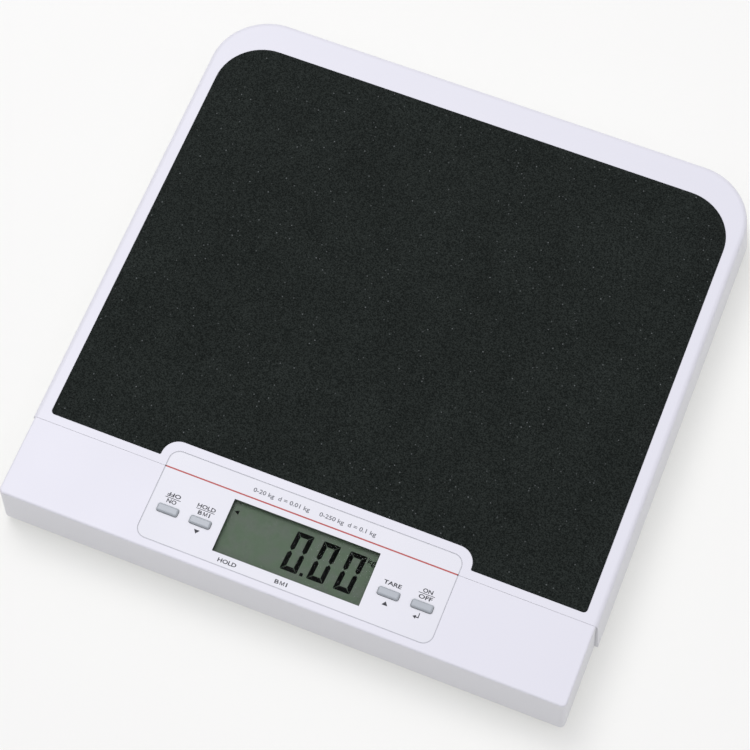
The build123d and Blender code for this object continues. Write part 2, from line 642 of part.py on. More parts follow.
# ---- write every node -----------------------------------------------------------------------------
os.makedirs("parts", exist_ok=True)
save("platform_cover", platform_cover())
save("grip_mat", grip_mat())
save("console_cover", console_cover())
save("control_overlay", control_overlay())
save("display_lens", display_lens())
for node, x in zip(BUTTON_NODES, BUTTON_X):
    save(node, push_button(x))
    save(f"{node}_plunger", switch_plunger(x))
save("tact_switches", *[tact_switch(x) for x in BUTTON_X])
save("lcd_panel", lcd_panel())
save("lcd_frame", lcd_frame())
save("lcd_contact_strips", *contact_strips())
save("main_board", main_board())
save("board_chips", *board_chips())
save("board_connectors", *board_connectors())
save("board_screws", *board_screws())
save("chassis_plate", chassis_plate())
save("chassis_screws", *chassis_screws())
for corner, (x, y, turn) in FOOT_SITES.items():
    save(f"load_cell_{corner}", load_cell(x, y, turn))
    save(f"foot_{corner}", foot(x, y))
    save(f"foot_pad_{corner}", foot_pad(x, y))
save("load_cell_brackets", *[cell_bracket(x, y) for x, y in FOOT_POINTS])
save("gauge_coats", *[gauge_coat(x, y, turn) for x, y, turn in FOOT_SITES.values()])
save("load_cell_screws", *cell_screws())
save("load_cell_cables", *load_cell_cables())
save("base_tray", base_tray())
save("battery_door", battery_door())
save("batteries", *batteries())
save("battery_springs", *battery_springs())
save("battery_plates", *battery_plates())
save("battery_lead", battery_lead())
save("base_screws", *base_screws())
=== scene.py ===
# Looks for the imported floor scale: finer meshes for the grip mat, soles and batteries, the printing on
# the control panel, the numerals on the display, and a procedural material on everything.

import math

import bmesh
import bpy
from mathutils import Matrix, Quaternion, Vector


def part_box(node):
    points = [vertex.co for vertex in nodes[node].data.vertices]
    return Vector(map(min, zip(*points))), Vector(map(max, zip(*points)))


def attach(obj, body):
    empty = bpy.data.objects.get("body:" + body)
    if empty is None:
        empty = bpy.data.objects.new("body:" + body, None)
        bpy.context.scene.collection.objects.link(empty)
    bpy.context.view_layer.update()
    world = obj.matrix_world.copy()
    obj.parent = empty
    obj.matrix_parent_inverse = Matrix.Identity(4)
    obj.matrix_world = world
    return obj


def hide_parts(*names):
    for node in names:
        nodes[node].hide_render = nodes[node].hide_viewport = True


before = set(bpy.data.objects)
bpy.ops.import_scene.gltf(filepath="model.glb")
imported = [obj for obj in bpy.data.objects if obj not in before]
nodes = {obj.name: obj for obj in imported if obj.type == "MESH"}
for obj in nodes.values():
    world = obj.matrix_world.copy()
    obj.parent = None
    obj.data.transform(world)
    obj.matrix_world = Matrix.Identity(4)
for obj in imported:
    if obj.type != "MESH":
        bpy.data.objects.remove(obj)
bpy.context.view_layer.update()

MM = 0.001
INK_THICK = 0.02 * MM
INK_LIFT = 0.002 * MM       # ink floats this far off the overlay, so that the faces don't coincide
LCD_INK_LIFT = 0.01 * MM
SMOOTH_DEG = 35             # edges sharper than this stay crisp
ROUND_STEPS = 64            # sides of a turned body
EDGE_STEPS = 3              # facets of a slab's rounded edge

film_low, film_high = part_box("control_overlay")
PANEL_X = (film_low.x + film_high.x) / 2

BUTTONS = ("power_button_left", "hold_button", "tare_button", "power_button_right")
CORNERS = ("front_left", "front_right", "rear_left", "rear_right")


def scaled(colour, factor):
    return tuple(channel * factor for channel in colour)


# ---- node graphs ----------------------------------------------------------------------------------
class Graph:
    """A material's node tree, with short calls for adding and joining nodes."""

    def __init__(self, name, roughness=0.5):
        self.material = bpy.data.materials.new(name)
        self.material.use_nodes = True
        self.tree = self.material.node_tree
        self.shader = self.tree.nodes["Principled BSDF"]
        self.output = self.tree.nodes["Material Output"]
        self.put(self.shader, "Roughness", roughness)
        self.place = self.node("ShaderNodeTexCoord").outputs["Object"]

    def put(self, node, key, value):
        socket = node.inputs[key]
        if isinstance(value, bpy.types.NodeSocket):
            self.tree.links.new(value, socket)
        elif isinstance(value, tuple) and len(value) == 3 and socket.type == "RGBA":
            socket.default_value = (*value, 1.0)
        else:
            socket.default_value = value

    def node(self, kind, inputs=None, **settings):
        made = self.tree.nodes.new(kind)
        for key, value in settings.items():
            setattr(made, key, value)
        for key, value in (inputs or {}).items():
            self.put(made, key, value)
        return made

    def set(self, **inputs):
        for key, value in inputs.items():
            self.put(self.shader, key.replace("_", " "), value)

    def grain(self, size_mm, detail=2.0, stretch=None, rough=0.5):
        """Noise whose features are about size_mm across."""
        place = self.place
        if stretch:
            place = self.node("ShaderNodeMapping", {"Vector": place, "Scale": stretch}).outputs["Vector"]
        made = self.node("ShaderNodeTexNoise", {"Vector": place, "Scale": 1 / (size_mm * MM),
                                                "Detail": detail, "Roughness": rough})
        return made.outputs["Fac"]

    def ramp(self, factor, *stops):
        """Colour ramp; each stop is (position, colour) or (position, grey)."""
        made = self.node("ShaderNodeValToRGB", {"Fac": factor})
        while len(made.color_ramp.elements) < len(stops):
            made.color_ramp.elements.new(0.5)
        for element, (position, shade) in zip(made.color_ramp.elements, stops):
            element.position = position
            colour = shade if isinstance(shade, tuple) else (shade, shade, shade)
            element.color = (*colour, 1.0)
        return made.outputs["Color"]

    def mix(self, factor, first, second, blend="MIX"):
        inputs = {"Fac": factor, "Color1": first, "Color2": second}
        made = self.node("ShaderNodeMixRGB", inputs, blend_type=blend)
        return made.outputs["Color"]

    def sum(self, first, second, operation="ADD"):
        made = self.node("ShaderNodeMath", operation=operation)
        for index, value in enumerate((first, second)):
            self.put(made, index, value)
        return made.outputs["Value"]

    def painted_crevice_shade(self, reach_mm, dark=0.75):
        """Painted shade: a grey that is dark where faces crowd together within reach_mm."""
        made = self.node("ShaderNodeAmbientOcclusion", {"Distance": reach_mm * MM}, samples=4)
        return self.ramp(made.outputs["AO"], (0.25, dark), (0.8, 1.0))

    def bump(self, height, depth_mm, strength=1.0, edge_mm=0.0):
        """Surface relief, on edges that look rounded by edge_mm."""
        inputs = {"Height": height, "Distance": depth_mm * MM, "Strength": strength}
        made = self.node("ShaderNodeBump", inputs)
        if edge_mm:
            soft = self.node("ShaderNodeBevel", {"Radius": edge_mm * MM}, samples=4)
            self.put(made, "Normal", soft.outputs["Normal"])
        self.put(self.shader, "Normal", made.outputs["Normal"])


def moulded(name, colour, roughness=0.4, tone=0.03, grain_mm=0.35, relief_mm=0.012,
            edge_mm=0.25, dark=0.7, reach_mm=3.0):
    """Moulded plastic with spark-eroded texture, faint flow marks and painted shade in its corners; dark
    and reach_mm set that shade.
    """
    g = Graph(name, roughness)
    drift = g.grain(70, 2)
    base = g.mix(drift, scaled(colour, 1 - tone), colour)
    # painted shade: the colour is darkened where faces crowd together, in corners and seams
    base = g.mix(1.0, base, g.painted_crevice_shade(reach_mm, dark), "MULTIPLY")
    fine = g.grain(grain_mm, 2)
    coarse = g.grain(grain_mm * 5, 1)
    g.set(Base_Color=base, Roughness=g.ramp(drift, (0.3, roughness - 0.04), (0.7, roughness + 0.05)))
    g.bump(g.sum(fine, coarse), relief_mm, 0.6, edge_mm)
    return g.material


def rubber(name, colour, grain_mm=0.5, relief_mm=0.03):
    g = Graph(name, 0.75)
    tone = g.ramp(g.grain(grain_mm * 3, 3), (0.3, scaled(colour, 0.7)), (0.75, scaled(colour, 1.5)))
    dust = g.ramp(g.grain(9, 4), (0.55, 0.0), (0.8, 0.05))
    g.set(Base_Color=g.mix(dust, tone, (0.35, 0.34, 0.32)), Specular_IOR_Level=0.3)
    g.bump(g.grain(grain_mm, 3), relief_mm, 0.8, 0.2)
    return g.material


def grip_material():
    """Dense dark grip mat: fine nap with sparse pale grit."""
    g = Graph("grip_rubber", 0.9)
    nap = g.grain(0.80, 3, rough=0.70)
    broad = g.grain(26, 3)
    dark = g.ramp(nap, (0.41, (0.0076, 0.0098, 0.0082)), (0.61, (0.0272, 0.0331, 0.0282)))
    tone = g.mix(1.0, dark, g.ramp(broad, (0.3, 0.90), (0.7, 1.10)), "MULTIPLY")
    cells = g.node("ShaderNodeTexVoronoi", {"Vector": g.place, "Scale": 1 / (2.1 * MM)})
    dot = g.ramp(cells.outputs["Distance"], (0.10, 1.0), (0.24, 0.0))
    pick = g.node("ShaderNodeSeparateColor", {"Color": cells.outputs["Color"]}).outputs["Red"]
    rare = g.ramp(pick, (0.84, 0.0), (1.0, 0.9))
    grit = g.sum(dot, rare, "MULTIPLY")
    g.set(Base_Color=g.mix(grit, tone, (0.16, 0.175, 0.165)), Specular_IOR_Level=0.05,
          Sheen_Weight=0.02, Sheen_Roughness=0.5)
    g.bump(g.sum(nap, grit), 0.16, 0.55)
    return g.material


def film_material():
    """Printed polyester film: finely textured, with painted shade darkening it towards its edges."""
    g = Graph("overlay_film", 0.42)
    tone = g.ramp(g.grain(55, 2), (0.3, (0.790, 0.800, 0.800)), (0.7, (0.815, 0.822, 0.820)))
    # painted shade: the colour is darkened near the film's edges and cut-outs
    g.set(Base_Color=g.mix(1.0, tone, g.painted_crevice_shade(1.2, 0.72), "MULTIPLY"),
          Coat_Weight=0.08, Coat_Roughness=0.35)
    g.bump(g.grain(0.25, 2), 0.006, 0.5, 0.08)
    return g.material


def clear_material(name, tint, gloss):
    """Thin clear window: passes light straight through, with a faint reflection."""
    g = Graph(name, 0.08)
    clear = g.node("ShaderNodeBsdfTransparent", {"Color": tint})
    smears = g.ramp(g.grain(20, 3), (0.3, 0.04), (0.8, 0.12))
    shine = g.node("ShaderNodeBsdfGlossy", {"Roughness": smears})
    facing = g.node("ShaderNodeLayerWeight", {"Blend": 0.15}).outputs["Facing"]
    amount = g.sum(facing, gloss, "MULTIPLY")
    both = g.node("ShaderNodeMixShader", {0: amount, 1: clear.outputs[0], 2: shine.outputs[0]})
    g.put(g.output, "Surface", both.outputs[0])
    return g.material


def lcd_material():
    """Display glass over a grey-green reflector, with the faint blotches of its polariser."""
    g = Graph("lcd_glass", 0.34)
    blotch = g.grain(7.5, 3, rough=0.6)
    green = g.ramp(blotch, (0.42, (0.100, 0.140, 0.089)), (0.60, (0.112, 0.138, 0.102)))
    streak = g.ramp(g.grain(1.3, 2), (0.35, 0.95), (0.65, 1.05))
    g.set(Base_Color=g.mix(1.0, green, streak, "MULTIPLY"), Specular_IOR_Level=0.1)
    g.bump(g.grain(0.6, 2), 0.004, 0.4)
    return g.material


def ink(name, colour, roughness=0.5, level=0.3):
    """Printed or liquid-crystal ink, slightly uneven in density; also the grey of a painted shade line.
    """
    g = Graph(name, roughness)
    tone = g.mix(g.grain(0.8, 3), scaled(colour, 0.88), scaled(colour, 1.12))
    g.set(Base_Color=tone, Specular_IOR_Level=level)
    g.bump(g.grain(0.3, 2), 0.003, 0.3)
    return g.material


def metal(name, colour, roughness=0.3, brushed=(1.0, 1.0, 1.0), spots=0.0):
    """Bare or plated metal with drawn lines, handling marks, painted shade in its crevices and, if asked
    for, zinc spangle.
    """
    g = Graph(name, roughness)
    lines = g.grain(0.6, 3, brushed)
    marks = g.grain(12, 4)
    base = g.mix(lines, scaled(colour, 0.86), colour)
    if spots:
        cells = g.node("ShaderNodeTexVoronoi", {"Vector": g.place, "Scale": 1 / (spots * MM)})
        flake = g.node("ShaderNodeSeparateColor", {"Color": cells.outputs["Color"]}).outputs["Green"]
        base = g.mix(1.0, base, g.ramp(flake, (0.0, 0.78), (1.0, 1.12)), "MULTIPLY")
    # painted shade: the colour is darkened in crevices and corners
    base = g.mix(1.0, base, g.painted_crevice_shade(1.5, 0.6), "MULTIPLY")
    g.set(Base_Color=base, Metallic=1.0,
          Roughness=g.ramp(marks, (0.3, roughness * 0.8), (0.75, roughness * 1.5)))
    g.bump(lines, 0.006, 0.4, 0.12)
    return g.material


def board_material():
    """Green circuit board: traces under the mask as slightly raised, lighter bands."""
    g = Graph("board_laminate", 0.35)
    black, white = (0, 0, 0), (1, 1, 1)
    inputs = {"Vector": g.place, "Scale": 1 / (6.0 * MM), "Mortar Size": 0.06,
              "Color1": black, "Color2": black, "Mortar": white}
    bricks = g.node("ShaderNodeTexBrick", inputs)
    traces = bricks.outputs["Color"]
    weave = g.ramp(g.grain(1.2, 2), (0.3, (0.010, 0.075, 0.026)), (0.7, (0.016, 0.110, 0.038)))
    g.set(Base_Color=g.mix(traces, weave, (0.03, 0.20, 0.075)), Coat_Weight=0.4)
    g.bump(traces, 0.03, 0.6, 0.1)
    return g.material


def wrap_material(name, colour, worn):
    """Printed foil wrap of a battery, with fine scuffs."""
    g = Graph(name, 0.28)
    scuff = g.ramp(g.grain(1.6, 5, (1.0, 0.2, 1.0)), (0.60, 0.0), (0.78, 0.35))
    tone = g.mix(g.grain(14, 2), scaled(colour, 0.85), colour)
    g.set(Base_Color=g.mix(scuff, tone, worn), Metallic=0.45, Coat_Weight=0.5, Coat_Roughness=0.15)
    g.bump(g.grain(0.9, 3), 0.01, 0.4, 0.15)
    return g.material


# ---- meshes ---------------------------------------------------------------------------------------
def piece(name, mesh, body, material, replaced=()):
    """Puts a mesh in the scene as a piece that rides on a body."""
    made = bpy.data.objects.new(name, mesh)
    bpy.context.scene.collection.objects.link(made)
    made.data.materials.append(material)
    mesh.shade_smooth()
    mesh.set_sharp_from_angle(angle=math.radians(SMOOTH_DEG))
    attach(made, body)
    if replaced:
        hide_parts(*replaced)


def to_mesh(name, bm):
    bmesh.ops.recalc_face_normals(bm, faces=bm.faces)
    mesh = bpy.data.meshes.new(name)
    bm.to_mesh(mesh)
    bm.free()
    return mesh


def arc(x, y, radius, start_deg, end_deg, steps):
    """Points along an arc, end points included."""
    turns = [math.radians(start_deg + (end_deg - start_deg) * i / steps) for i in range(steps + 1)]
    return [(x + radius * math.cos(t), y + radius * math.sin(t)) for t in turns]


def offset_loop(points, distance):
    """A closed outline moved inwards by distance. The outline runs counter-clockwise."""
    moved = []
    count = len(points)
    for i in range(count):
        before, here, after = Vector(points[i - 1]), Vector(points[i]), Vector(points[(i + 1) % count])
        a = (here - before).normalized()
        b = (after - here).normalized()
        normal = Vector((-a.y - b.y, a.x + b.x)).normalized()
        spread = max(0.3, normal.dot(Vector((-a.y, a.x))))
        moved.append(here + normal * distance / spread)
    return moved


def slab(bm, outline, low, high, edge=0.0):
    """A closed slab over an outline, with its upper edge rounded. Lengths are in metres."""
    rings = [(0.0, low)]
    if edge:
        for i in range(EDGE_STEPS + 1):
            turn = math.pi / 2 * i / EDGE_STEPS
            rings.append((edge * (1 - math.cos(turn)), high - edge * (1 - math.sin(turn))))
    else:
        rings.append((0.0, high))
    loops = []
    for inset, z in rings:
        loops.append([bm.verts.new((p[0], p[1], z)) for p in offset_loop(outline, inset)])
    for lower, upper in zip(loops, loops[1:]):
        for i in range(len(lower)):
            j = (i + 1) % len(lower)
            bm.faces.new((lower[i], lower[j], upper[j], upper[i]))
    bm.faces.new(loops[-1])
    bm.faces.new(list(reversed(loops[0])))


def band(bm, outline, width, low, high):
    """A flat closed band that runs inside an outline."""
    loops = []
    for inset, z in ((0.0, low), (0.0, high), (width, high), (width, low)):
        loops.append([bm.verts.new((p[0], p[1], z)) for p in offset_loop(outline, inset)])
    for here, there in zip(loops, loops[1:] + loops[:1]):
        for i in range(len(here)):
            j = (i + 1) % len(here)
            bm.faces.new((here[i], here[j], there[j], there[i]))


def lathe(bm, profile):
    """A closed body turned about Z from a profile of (radius, z) that starts and ends on the axis."""
    turns = [2 * math.pi * i / ROUND_STEPS for i in range(ROUND_STEPS)]
    rings = []
    for r, z in profile:
        if r == 0:
            rings.append([bm.verts.new((0, 0, z))])
        else:
            rings.append([bm.verts.new((r * math.cos(t), r * math.sin(t), z)) for t in turns])
    for lower, upper in zip(rings, rings[1:]):
        for i in range(ROUND_STEPS):
            j = (i + 1) % ROUND_STEPS
            corners = [lower[i % len(lower)], lower[j % len(lower)],
                       upper[j % len(upper)], upper[i % len(upper)]]
            corners = list(dict.fromkeys(corners))
            if len(corners) > 2:
                bm.faces.new(corners)


def turned(points):
    """Profile in millimetres as metres."""
    return [(r * MM, z * MM) for r, z in points]


def lettering(name, text, x, y, z, height, material, width, turn_deg=0.0, weight=0.014):
    """Flat raised lettering of a given width. Height is that of a capital."""
    def built(body_text):
        curve = bpy.data.curves.new(name, "FONT")
        curve.body = body_text
        curve.resolution_u = 3
        curve.offset = weight
        holder = bpy.data.objects.new(name, curve)
        bpy.context.scene.collection.objects.link(holder)
        bpy.context.view_layer.update()
        graph = bpy.context.evaluated_depsgraph_get()
        mesh = bpy.data.meshes.new_from_object(holder.evaluated_get(graph))
        bpy.data.objects.remove(holder)
        bpy.data.curves.remove(curve)
        return mesh

    reference = built("H")
    capital = max(v.co.y for v in reference.vertices)
    bpy.data.meshes.remove(reference)
    mesh = built(text)
    scale = height / capital
    xs = [v.co.x for v in mesh.vertices]
    middle = (max(xs) + min(xs)) / 2
    stretch = width / (max(xs) - min(xs))
    bm = bmesh.new()
    bm.from_mesh(mesh)
    bpy.data.meshes.remove(mesh)
    bmesh.ops.remove_doubles(bm, verts=bm.verts, dist=1e-5)
    for v in bm.verts:
        v.co = Vector(((v.co.x - middle) * stretch, (v.co.y - capital / 2) * scale, 0))
    flat = list(bm.faces)
    raised = bmesh.ops.extrude_face_region(bm, geom=flat, use_keep_orig=True)
    for item in raised["geom"]:
        if isinstance(item, bmesh.types.BMVert):
            item.co.z += INK_THICK
    bm.transform(Matrix.Translation((x, y, z)) @ Matrix.Rotation(math.radians(turn_deg), 4, "Z"))
    piece(name, to_mesh(name, bm), "scale", material)


def polygons(name, outlines, z, material):
    """Flat raised shapes, one per outline."""
    bm = bmesh.new()
    for outline in outlines:
        slab(bm, outline, z, z + INK_THICK)
    piece(name, to_mesh(name, bm), "scale", material)


# ---- materials ------------------------------------------------------------------------------------
WHITE = moulded("white_shell", (0.815, 0.818, 0.832), roughness=0.42, tone=0.02)
GRIP = grip_material()
FILM = film_material()
LENS = clear_material("lens_acrylic", (0.97, 0.985, 0.97), gloss=0.05)
LCD = lcd_material()
LCD_INK = ink("lcd_ink", (0.0022, 0.0026, 0.0022), 0.9, level=0.0)
GREY_INK = ink("grey_ink", (0.040, 0.042, 0.046))
PALE_INK = ink("pale_ink", (0.17, 0.175, 0.185))
# painted shade: a grey, made like an ink, for the shadow along the overlay's edge
PAINTED_EDGE_SHADE = ink("painted_edge_shade", (0.61, 0.625, 0.63))
RED_INK = ink("red_ink", (0.52, 0.10, 0.085), 0.45)
KEY = moulded("key_grey", (0.440, 0.476, 0.480), roughness=0.33, edge_mm=0.1, reach_mm=1.0, dark=0.6)
TRAY = moulded("tray_plastic", (0.60, 0.61, 0.64), 0.5, tone=0.05, grain_mm=0.5, relief_mm=0.03)
FOOT = moulded("foot_plastic", (0.17, 0.175, 0.18), roughness=0.5, tone=0.1)
GREY = moulded("grey_plastic", (0.20, 0.205, 0.21), roughness=0.5, tone=0.1)
BLACK = moulded("black_plastic", (0.022, 0.022, 0.024), tone=0.2, edge_mm=0.1, reach_mm=1.0)
IVORY = moulded("ivory_plastic", (0.70, 0.66, 0.52), tone=0.06, edge_mm=0.1)
SOLE = rubber("foot_rubber", (0.030, 0.030, 0.031))
CABLE = rubber("cable_pvc", (0.035, 0.035, 0.038), 0.3, 0.01)
STRIP = rubber("elastomer", (0.05, 0.05, 0.055), 0.3, 0.01)
SILICONE = rubber("silicone", (0.62, 0.60, 0.54), 0.6, 0.02)
ZINC = metal("zinc_steel", (0.72, 0.73, 0.76), 0.26)
GALVANISED = metal("galvanised_steel", (0.60, 0.62, 0.64), 0.42, spots=7.0)
CELL = metal("cell_steel", (0.62, 0.63, 0.66), 0.3, (8.0, 0.6, 1.0))
NICKEL = metal("nickel_steel", (0.80, 0.78, 0.74), 0.2, (1.0, 1.0, 6.0))
BOARD = board_material()
WRAP = wrap_material("battery_wrap", (0.020, 0.022, 0.026), (0.20, 0.20, 0.20))
BAND = wrap_material("battery_band", (0.62, 0.27, 0.09), (0.75, 0.50, 0.30))

NODE_MATERIALS = {
    "platform_cover": WHITE, "console_cover": WHITE, "grip_mat": GRIP, "control_overlay": FILM,
    "display_lens": LENS, "lcd_panel": LCD, "lcd_frame": BLACK, "lcd_contact_strips": STRIP,
    "main_board": BOARD, "board_chips": BLACK, "board_connectors": IVORY, "board_screws": ZINC,
    "tact_switches": BLACK, "chassis_plate": GALVANISED, "chassis_screws": ZINC,
    "load_cell_brackets": GREY, "gauge_coats": SILICONE, "load_cell_screws": ZINC,
    "load_cell_cables": CABLE, "base_tray": TRAY, "battery_door": TRAY, "batteries": WRAP,
    "battery_springs": NICKEL, "battery_plates": NICKEL, "battery_lead": CABLE, "base_screws": ZINC,
}
NODE_MATERIALS.update({name: KEY for name in BUTTONS})
NODE_MATERIALS.update({f"{name}_plunger": BLACK for name in BUTTONS})
NODE_MATERIALS.update({f"load_cell_{corner}": CELL for corner in CORNERS})
NODE_MATERIALS.update({f"foot_{corner}": FOOT for corner in CORNERS})
NODE_MATERIALS.update({f"foot_pad_{corner}": SOLE for corner in CORNERS})

for name, obj in nodes.items():
    material = NODE_MATERIALS[name]
    if not obj.material_slots:
        obj.data.materials.append(material)
    for material_slot in obj.material_slots:
        material_slot.material = material


# ---- grip mat -------------------------------------------------------------------------------------
MAT_REAR_RADIUS = 28.5 * MM
MAT_FRONT_RADIUS = 2.2 * MM
TAB_HALF = 91.3 * MM        # the mat is cut away around a tab behind the control panel
TAB_DEPTH = 11.1 * MM
TAB_RADIUS = 9.8 * MM
TAB_CORNER = 0.8 * MM
mat_low, mat_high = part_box("grip_mat")


def mat_outline():
    """Counter-clockwise outline of the mat, from its CAD box and the tab."""
    x, front, rear = mat_high.x, mat_low.y, mat_high.y
    front_r, rear_r = MAT_FRONT_RADIUS, MAT_REAR_RADIUS
    right = arc(x - front_r, front + front_r, front_r, -90, 0, 6)
    right += arc(x - rear_r, rear - rear_r, rear_r, 0, 90, 24)
    left = [(-px, py) for px, py in reversed(right)]
    tab_y = front + TAB_DEPTH
    tab = arc(TAB_HALF - TAB_RADIUS, tab_y - TAB_RADIUS, TAB_RADIUS, 90, 0, 14)
    tab += arc(TAB_HALF + TAB_CORNER, front + TAB_CORNER, TAB_CORNER, 180, 270, 4)
    tab_left = [(PANEL_X - px, py) for px, py in reversed(tab)]
    tab_right = [(PANEL_X + px, py) for px, py in tab]
    return right + left + tab_left + tab_right


bm = bmesh.new()
slab(bm, mat_outline(), mat_low.z, mat_high.z, edge=0.3 * MM)
piece("grip_mat_skin", to_mesh("grip_mat_skin", bm), "scale", GRIP, ["grip_mat"])


# ---- display --------------------------------------------------------------------------------------
lcd_low, lcd_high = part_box("lcd_panel")
LCD_FACE = lcd_high.z + LCD_INK_LIFT
DIGIT_HEIGHT = 23.2 * MM
DIGIT_WIDTH = 9.8 * MM
DIGIT_PITCH = 15.5 * MM
DIGIT_STROKE = 2.75 * MM
DIGIT_GAP = 0.18 * MM
DIGIT_SLANT = 1.5 / 23.2
DIGIT_LEFT = PANEL_X - 5.6 * MM
DIGIT_FRONT = -149.0 * MM


def zero_segments(width, height, stroke, gap):
    """Outlines of the six lit segments of a zero, standing upright at the origin."""
    w, h, t, g = width, height, stroke, gap
    cut = 0.45 * MM
    half = h / 2
    top = [(g + cut, h), (g, h - 0.3 * cut), (t + g, h - t),
           (w - t - g, h - t), (w - g, h - 0.3 * cut), (w - g - cut, h)]
    upper = [(0.0, h - g - cut), (0.0, half + t / 2 + g), (t / 2, half + g),
             (t, half + t / 2 + g), (t, h - t - g), (0.3 * cut, h - g)]
    outlines = [top, upper]
    outlines.append([(w - x, y) for x, y in upper][::-1])
    outlines += [[(x, h - y) for x, y in outline][::-1] for outline in list(outlines)]
    return outlines


def counter_clockwise(outline):
    area = sum(a[0] * b[1] - b[0] * a[1] for a, b in zip(outline, outline[1:] + outline[:1]))
    return outline if area > 0 else outline[::-1]


def slanted(outline, left, front):
    return counter_clockwise([(left + x + y * DIGIT_SLANT, front + y) for x, y in outline])


for index in range(3):
    left = DIGIT_LEFT + index * DIGIT_PITCH
    segments = zero_segments(DIGIT_WIDTH, DIGIT_HEIGHT, DIGIT_STROKE, DIGIT_GAP)
    shapes = [slanted(segment, left, DIGIT_FRONT) for segment in segments]
    polygons(f"display_digit_{index + 1}", shapes, LCD_FACE, LCD_INK)

POINT = 1.9 * MM
point_left = DIGIT_LEFT + DIGIT_WIDTH + 1.55 * MM
square = [(0, 0), (POINT, 0), (POINT, POINT), (0, POINT)]
pointer = [(PANEL_X - x * MM, y * MM) for x, y in ((40.9, -127.9), (38.3, -129.2), (38.3, -126.6))]
point = slanted(square, point_left, DIGIT_FRONT - 0.1 * MM)
polygons("display_marks", [point, pointer], LCD_FACE, LCD_INK)
lettering("display_unit", "kg", PANEL_X + 39.9 * MM, -127.4 * MM, LCD_FACE, 3.3 * MM,
          LCD_INK, 4.6 * MM)


# ---- printing and painted edge shade on the control panel -----------------------------------------
FILM_FACE = film_high.z + INK_LIFT
RED_Y = -118.35 * MM
RED_HALF = 0.42 * MM
RANGE_HEIGHT = 2.4 * MM
RANGE_WIDTH = 72.0 * MM
LABEL_MM = 2.25             # height of a capital
LABEL_WEIGHT = 0.024
LETTER_STROKE = 0.36
RULE_HALF = 0.18
# width and corner radius of a painted shade line along the film's edge
EDGE_SHADE_WIDTH = 0.4 * MM
EDGE_SHADE_RADIUS = 6.0 * MM


def bar(x, y, half_x, half_y):
    return [(x - half_x, y - half_y), (x + half_x, y - half_y),
            (x + half_x, y + half_y), (x - half_x, y + half_y)]


red_line = bar(PANEL_X, RED_Y, (film_high.x - film_low.x) / 2, RED_HALF)
polygons("panel_red_line", [red_line], FILM_FACE, RED_INK)
lettering("panel_range_text", "0-20 kg  d = 0.01 kg     0-250 kg  d = 0.1 kg",
          PANEL_X + 0.6 * MM, -113.4 * MM, FILM_FACE, RANGE_HEIGHT,
          PALE_INK, RANGE_WIDTH)

# (piece, text, x and y in millimetres from the panel's centre line, turn in degrees, width)
LABELS = (
    ("panel_hold_label", "HOLD", -55.0, -132.8, 0, 10.6),
    ("panel_index_label", "B   I", -55.0, -136.6, 0, 7.0),
    ("panel_tare_label", "TARE", 55.2, -135.9, 0, 10.2),
    ("panel_on_label", "ON", 74.3, -132.8, 0, 5.6),
    ("panel_off_label", "OFF", 74.3, -136.6, 0, 7.8),
    ("panel_on_label_turned", "ON", -74.3, -136.6, 180, 5.6),
    ("panel_off_label_turned", "OFF", -74.3, -132.8, 180, 7.8),
    ("panel_hold_mark", "HOLD", -32.4, -157.4, 0, 10.8),
    ("panel_index_mark", "B   I", -0.9, -157.4, 0, 7.2),
)
for name, text, x, y, turn, width in LABELS:
    lettering(name, text, PANEL_X + x * MM, y * MM, FILM_FACE, LABEL_MM * MM,
              GREY_INK, width * MM, turn, weight=LABEL_WEIGHT)


def letter_m(x, y, width):
    """Outline of the M between a label's B and I; the typeface's own M folds over when thickened."""
    w, h, t = width, LABEL_MM, LETTER_STROKE
    points = [(0, 0), (t, 0), (t, 0.68 * h), ((w - t) / 2, 0), ((w + t) / 2, 0),
              (w - t, 0.68 * h), (w - t, 0), (w, 0), (w, h), (w - 1.25 * t, h),
              (w / 2, 0.3 * h), (1.25 * t, h), (0, h)]
    return [(x - w / 2 + px, y - h / 2 + py) for px, py in points]


def rounded(low_x, high_x, low_y, high_y, radius):
    """Counter-clockwise rectangle with rounded corners."""
    points = arc(high_x - radius, low_y + radius, radius, -90, 0, 8)
    points += arc(high_x - radius, high_y - radius, radius, 0, 90, 8)
    points += arc(low_x + radius, high_y - radius, radius, 90, 180, 8)
    return points + arc(low_x + radius, low_y + radius, radius, 180, 270, 8)


# Symbols, in millimetres from the panel's centre line.
down = [(-56.7, -146.3), (-55.0, -148.6), (-53.3, -146.3)]
up = [(53.6, -148.6), (57.0, -148.6), (55.3, -146.3)]
enter_head = [(71.3, -148.4), (73.2, -149.5), (73.2, -147.3)]
enter = [enter_head, bar(73.9, -148.4, 0.85, 0.26), bar(74.55, -147.2, 0.26, 1.5)]
rules = [bar(x, -134.7, half, RULE_HALF) for x, half in ((-55.0, 5.4), (74.3, 4.6), (-74.3, 4.6))]
letters = [letter_m(-54.3, -136.6, 2.4), letter_m(-0.2, -157.4, 2.5)]
marks = [down, up] + enter + rules + letters
marks = [counter_clockwise([(PANEL_X + x * MM, y * MM) for x, y in mark]) for mark in marks]
polygons("panel_symbols", marks, FILM_FACE, GREY_INK)

# painted shade: a grey band inside the film's edge stands in for the shadow along the overlay's edge
bm = bmesh.new()
edge_shade_outline = rounded(film_low.x, film_high.x, film_low.y, film_high.y, EDGE_SHADE_RADIUS)
band(bm, edge_shade_outline, EDGE_SHADE_WIDTH, FILM_FACE, FILM_FACE + INK_THICK)
piece("panel_edge_shade", to_mesh("panel_edge_shade", bm), "scale", PAINTED_EDGE_SHADE)


